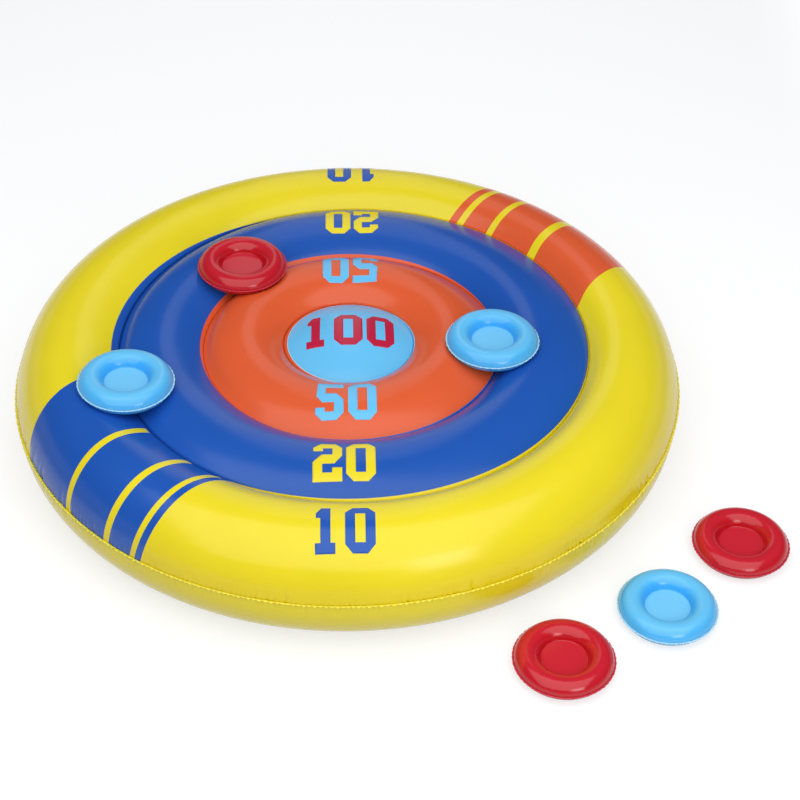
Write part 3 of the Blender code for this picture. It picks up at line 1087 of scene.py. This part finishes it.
def placeCopy(source, name, matrix):
    copy = source.copy()
    copy.data = source.data.copy()
    copy.name = copy.data.name = name
    bpy.context.scene.collection.objects.link(copy)
    copy.data.transform(matrix)
    return copy


def discMatrix(place, up):
    up = Vector(up).normalized()
    across = Vector((1, 0, 0))
    across = (across - up * across.dot(up)).normalized()
    matrix = Matrix((across, up.cross(across), up)).transposed().to_4x4()
    matrix.translation = place
    return matrix


for number, (place, up, ink) in enumerate(discs["places"], 1):
    name, body = "disc" + str(number), "disc_" + str(number)
    slot = "red_vinyl" if ink == "red" else "light_blue_vinyl"
    skin = materials[ink + "Disc"]
    lie = discMatrix(place, up)
    spun = lie @ Matrix.Rotation(number * discs["turnStep"], 4, "Z")
    finishPiece(placeCopy(discTop, name + "Top", spun), body, slot, skin, [body + "_top"])
    finishPiece(placeCopy(discBottom, name + "Bottom", lie), body, slot, skin, [body + "_bottom"])
    finishPiece(placeCopy(discLip, name + "Lip", spun), body, slot, skin)
for source in (discTop, discBottom, discLip):
    bpy.data.objects.remove(source)

print("valves")
# Outlines in each valve's own frame: distance from the axis, height over the skin; closed ones ring a bore
targetValve = {
    "steps": 96,
    "seat": [
        (0.015, 0.0001), (0.015, 0.0006), (0.0137, 0.001), (0.0129, 0.001), (0.0126, 0.0007),
        (0.0121, 0.0007), (0.0118, 0.0011), (0.0107, 0.0012), (0.0104, 0.0009), (0.0099, 0.0009),
        (0.0096, 0.0013), (0.0085, 0.0015), (0.0063, 0.0015), (0.0063, -0.005), (0.0078, -0.005),
        (0.0078, 0.0001),
    ],
    "stem": [
        (0.0075, 0.0018), (0.0075, 0.0033), (0.0049, 0.0033), (0.0046, 0.0029), (0.0035, 0.0027),
        (0.0035, -0.0147), (0.0056, -0.0147), (0.006, -0.0135), (0.006, -0.0118), (0.0056, -0.0113),
        (0.0056, -0.0076), (0.006, -0.0071), (0.006, 0.0018),
    ],
    "plug": [
        (0, 0.0011), (0.0036, 0.0011), (0.0042, 0.0015), (0.0058, 0.0015), (0.0062, 0.0012), (0.0062, 0.0002),
        (0.006, 0), (0.0034, 0), (0.0031, -0.0004), (0.00285, -0.0016), (0.0031, -0.0024), (0.0029, -0.0031),
        (0.00235, -0.0046), (0.0019, -0.005), (0, -0.005),
    ],
    "flap": [
        (0, 0), (0.0044, 0), (0.0052, -0.0001), (0.0052, -0.0005), (0.0044, -0.0006), (0.0036, -0.0003),
        (0, -0.0003),
    ],
    "round": 0.00016,
    "reach": 0.011,
    "hinge": 0.0036,
    "strap": (0.004, 0.0008, 0.0031),
    "lug": ((-0.0025, 0.0066, 0.0018), (0.0025, 0.011, 0.0033)),
    "lugRound": 0.0003,
    "flapHeight": -0.015,
    "flapRound": 0.00008,
    "flapTab": ((-0.0016, 0.0042, -0.0156), (0.0016, 0.0053, -0.015)),
    "tabRound": 0.00012,
    "hole": 0.0081,
    "holeDepth": 0.02,
}
discValve = {
    "steps": 56,
    "body": [
        (0.006, 0), (0.006, 0.0004), (0.0054, 0.0007), (0.0046, 0.0007), (0.0044, 0.0011), (0.0023, 0.0011),
        (0.0018, 0.0008), (0.0018, -0.0069), (0.0027, -0.0069), (0.003, -0.0062), (0.003, 0),
    ],
    "plug": [
        (0, 0.0006), (0.0019, 0.0006), (0.0022, 0.0008), (0.0029, 0.0008), (0.0032, 0.0006), (0.0032, 0.0001),
        (0.0031, 0), (0.0016, 0), (0.0014, -0.0007), (0.0015, -0.0012), (0.0012, -0.0022), (0.0009, -0.0025),
        (0, -0.0025),
    ],
    "round": 0.00008,
    "reach": 0.006,
    "hinge": 0.0014,
    "strap": (0.0024, 0.0005, 0.0018),
    "hole": 0.0033,
    "holeDepth": 0.006,
}


axisReach = 1e-6    # what lies nearer to the axis than this is on it


def turnOutline(name, outline, steps, rounding, closed=False):
    # One corner is extruded along the outline, its corners are rounded, and it is turned round the Z axis
    deselectAll()
    bpy.ops.mesh.primitive_plane_add(size=0.001, location=(outline[0][0], 0, outline[0][1]))
    piece = settleNew(name)
    startEdit(piece)
    bpy.ops.mesh.select_mode(type="VERT")
    bpy.ops.mesh.select_all(action="SELECT")
    bpy.ops.mesh.merge(type="CENTER")
    for before, after in zip(outline, outline[1:]):
        step = (after[0] - before[0], 0, after[1] - before[1])
        bpy.ops.mesh.extrude_vertices_move(TRANSFORM_OT_translate={"value": step})
    mesh = bmesh.from_edit_mesh(piece.data)
    bpy.ops.mesh.select_all(action="DESELECT")
    if closed:
        for vertex in mesh.verts:
            vertex.select_set(len(vertex.link_edges) == 1)
        bpy.ops.mesh.edge_face_add()
    for vertex in mesh.verts:
        vertex.select_set(vertex.co.x > axisReach)
    bpy.ops.mesh.bevel(offset=rounding, segments=3, affect="VERTICES", clamp_overlap=True)
    endEdit()
    turnRound(piece, steps)
    return piece


# Where a strap thins to a hinge, as shares of its length from the hinge end, and its thickness there
waist = {"rowShares": (0.08, 0.2, 0.32), "middleShare": 0.2, "spanShare": 0.12, "thicknessShare": 0.6}


def makeBlock(name, low, high, rounding, hinged=False):
    # A block with rounded edges, thinned across near its far end where it bends
    deselectAll()
    low, high = Vector(low), Vector(high)
    bpy.ops.mesh.primitive_cube_add(size=1, location=(low + high) / 2)
    bpy.ops.transform.resize(value=high - low)
    block = settleNew(name)
    startEdit(block)
    bpy.ops.mesh.bevel(offset=rounding, segments=3, affect="EDGES")
    length = high.y - low.y
    if hinged:
        for share in waist["rowShares"]:
            cutThrough((0, high.y - length * share, 0), (0, 1, 0))
    endEdit()
    if hinged:
        points = pointsOf(block)
        off = np.abs(points[:, 1] - high.y + length * waist["middleShare"]) / (length * waist["spanShare"])
        thin = waist["thicknessShare"] + (1 - waist["thicknessShare"]) * np.clip(off, 0, 1)
        points[:, 2] = low.z + (points[:, 2] - low.z) * thin
        movePoints(block, points)
    return block


def combine(piece, tool, operation):
    activate(piece)
    change = piece.modifiers.new("combine", "BOOLEAN")
    change.operation = operation
    change.solver = "MANIFOLD"
    change.object = tool
    applyModifiers(piece)
    bpy.data.objects.remove(tool)


def makePlug(name, look):
    plug = turnOutline(name, look["plug"], look["steps"], look["round"])
    width, thickness, inner = look["strap"]
    low, high = (-width / 2, inner, 0), (width / 2, look["reach"], thickness)
    strap = makeBlock("strap", low, high, look["round"], True)
    combine(plug, strap, "UNION")
    plug.data.transform(Matrix.Translation((0, 0, look["hinge"])))
    return plug


def finishMoulding(piece, body, node):
    # A small rigid moulding: smooth round its turns, crisp at its edges
    finishPiece(piece, body, "valve_vinyl", materials["clear"], [node])
    activate(piece)
    bpy.ops.object.shade_smooth_by_angle(angle=math.radians(38))


def cutHole(piece, where, look):
    deselectAll()
    bpy.ops.mesh.primitive_cylinder_add(vertices=64, radius=look["hole"], depth=look["holeDepth"])
    drill = bpy.context.object
    drill.data.transform(where)
    combine(piece, drill, "DIFFERENCE")


seatMoulding, stemTube = [
    turnOutline(name, targetValve[part], targetValve["steps"], targetValve["round"], True)
    for name, part in (("valveSeatMoulding", "seat"), ("valveStemTube", "stem"))
]
combine(stemTube, makeBlock("lug", *targetValve["lug"], targetValve["lugRound"]), "UNION")
stopper = makePlug("valveStopper", targetValve)
checkFlap = turnOutline("valveCheckFlap", targetValve["flap"], targetValve["steps"], targetValve["flapRound"])
checkFlap.data.transform(Matrix.Translation((0, 0, targetValve["flapHeight"])))
combine(checkFlap, makeBlock("tab", *targetValve["flapTab"], targetValve["tabRound"]), "UNION")
for piece, body, node in (
    (seatMoulding, "target", "valve_seat"),
    (stemTube, "valve_stem", "valve_stem"),
    (stopper, "valve_plug", "valve_plug"),
    (checkFlap, "valve_flap", "valve_flap"),
):
    piece.data.transform(valveFrame)
    finishMoulding(piece, body, node)
cutHole(ring10Bottom, valveFrame, targetValve)

valveBody = turnOutline("discValveBody", discValve["body"], discValve["steps"], discValve["round"], True)
discStopper = makePlug("discStopper", discValve)
for number, (place, up, _) in enumerate(discs["places"], 1):
    name, body = "disc" + str(number), "disc_" + str(number)
    at = discMatrix(place, up) @ discValveFrame
    cutHole(bpy.data.objects[name + "Bottom"], at, discValve)
    finishMoulding(placeCopy(valveBody, name + "Valve", at), body, body + "_valve")
    finishMoulding(placeCopy(discStopper, name + "Stopper", at), body + "_plug", body + "_plug")
for source in (valveBody, discStopper):
    bpy.data.objects.remove(source)


print("floor and light")
studio = {
    "floorSize": 14,
    "floorDrop": 0.0002,
    # the floor's colour for the light that it throws back, and for what sees it
    "floorColour": "#B8B8B8",
    "floorSeen": "#ADAEB1",
    "floorGlow": 0.65,
    "floorGlowFar": {"mirrored": 0.12, "camera": 1},
    # the sheet of white paper under the game: middle, half its size, and how it fades past its edge
    "paperMiddle": (0, 0.62, 0),
    "paperHalf": (0.95, 1.55, 1),
    "paperFade": (0.25, 1.0),
    # the even fill from below and from above
    "fill": (0.12, 0.46),
    # what gloss mirrors at the horizon, what it mirrors higher up, and the heights between
    "paper": 0.5,
    "room": 0.07,
    "paperEdge": (0.14, 0.26),
}
# zenith and bearing of the middle in degrees, distance, width and height in metres, brightness
softboxes = {
    "softboxKey": (30, -94, 3.2, 5.4, 4.6, 1.4),
    "softboxAccent": (67, -64, 3.3, 1.0, 1.0, 3.2),
    "stripLight": (50, 90, 3.3, 0.9, 3.0, 0.7),
}


def seenPath(tree):
    # 1 for what the camera sees, straight on, in a reflection or through something clear
    path = addNode(tree, "LightPath").outputs
    seen = path["Is Camera Ray"]
    for kind in ("Is Glossy Ray", "Is Transmission Ray"):
        seen = addNode(tree, "Math", {"operation": "MAXIMUM"}, None, {0: seen, 1: path[kind]}).outputs[0]
    return seen


def addFloor():
    deselectAll()
    bpy.ops.mesh.primitive_plane_add(size=studio["floorSize"], location=(0, 0, -studio["floorDrop"]))
    floor = bpy.context.object
    floor.name = "floor"
    material, tree, shader = startMaterial("whitePaperFloor")
    shader.inputs["Roughness"].default_value = 0.9
    shader.inputs["Specular IOR Level"].default_value = 0
    seen = seenPath(tree)
    # How far a point lies outside the sheet of white paper
    off = addNode(tree, "TexCoord").outputs["Object"]
    for step, amount in (
        ("SUBTRACT", studio["paperMiddle"]),
        ("ABSOLUTE", (0, 0, 0)),
        ("SUBTRACT", studio["paperHalf"]),
        ("MAXIMUM", (0, 0, 0)),
    ):
        off = addNode(tree, "VectorMath", {"operation": step}, {1: amount}, {0: off}).outputs[0]
    reach = addNode(tree, "VectorMath", {"operation": "LENGTH"}, None, {0: off}).outputs["Value"]
    # White on the paper; past it white for the camera's eye alone, so that gloss mirrors a dim room
    farGlow = studio["floorGlowFar"]
    straight = {0: addNode(tree, "LightPath").outputs["Is Camera Ray"]}
    past = {2: farGlow["mirrored"], 3: farGlow["camera"]}
    dimmed = addNode(tree, "Mix", {"data_type": "FLOAT"}, past, straight)
    near, far = studio["paperFade"]
    white = addNode(
        tree,
        "MapRange",
        {"interpolation_type": "SMOOTHSTEP"},
        {"From Min": near, "From Max": far, "To Min": studio["floorGlow"]},
        {"Value": reach, "To Max": dimmed.outputs[0]},
    )
    shown = {0: seen, 1: white.outputs["Result"]}
    glow = addNode(tree, "Math", {"operation": "MULTIPLY"}, None, shown)
    greys = {6: linear(studio["floorColour"]), 7: linear(studio["floorSeen"])}
    paper = addNode(tree, "Mix", {"data_type": "RGBA"}, greys, {0: seen})
    tree.links.new(paper.outputs[2], shader.inputs["Base Color"])
    shader.inputs["Emission Color"].default_value = (1, 1, 1, 1)
    tree.links.new(glow.outputs[0], shader.inputs["Emission Strength"])
    floor.data.materials.append(material)


def addSoftbox(name, zenith, bearing, distance, width, height, brightness):
    zenith, bearing = math.radians(zenith), math.radians(bearing)
    out, up = math.sin(zenith), math.cos(zenith)
    way = Vector((out * math.cos(bearing), out * math.sin(bearing), up))
    facing = way.to_track_quat("Z", "Y").to_euler()
    bpy.ops.object.light_add(type="AREA", location=way * distance, rotation=facing)
    box = bpy.context.object
    box.name = name
    box.data.shape = "RECTANGLE"
    box.data.size, box.data.size_y = width, height
    box.data.energy = brightness * math.pi * width * height
    box.visible_camera = False


def lightWorld():
    # White paper round the horizon under a dim ceiling for what is seen, and an even fill for what is lit
    world = bpy.data.worlds.new("studioWorld")
    world.use_nodes = True
    bpy.context.scene.world = world
    tree = world.node_tree
    way = addNode(tree, "TexCoord").outputs["Generated"]
    height = {"Value": addNode(tree, "SeparateXYZ", None, None, {"Vector": way}).outputs["Z"]}
    low, high = studio["paperEdge"]
    dimming = {"From Min": low, "From Max": high, "To Min": studio["paper"], "To Max": studio["room"]}
    room = addNode(tree, "MapRange", {"interpolation_type": "SMOOTHSTEP"}, dimming, height)
    below, above = studio["fill"]
    fill = addNode(tree, "MapRange", None, {"To Min": below, "To Max": above}, height)
    either = {0: seenPath(tree), 2: fill.outputs["Result"], 3: room.outputs["Result"]}
    strength = addNode(tree, "Mix", {"data_type": "FLOAT"}, None, either)
    # The camera itself sees plain white behind the floor
    straight = addNode(tree, "LightPath").outputs["Is Camera Ray"]
    shown = addNode(tree, "Mix", {"data_type": "FLOAT"}, {3: 1}, {0: straight, 2: strength.outputs[0]})
    background = tree.nodes["Background"]
    background.inputs["Color"].default_value = (1, 1, 1, 1)
    tree.links.new(shown.outputs[0], background.inputs["Strength"])


addFloor()
lightWorld()
for name, look in softboxes.items():
    addSoftbox(name, *look)

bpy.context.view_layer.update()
deselectAll()
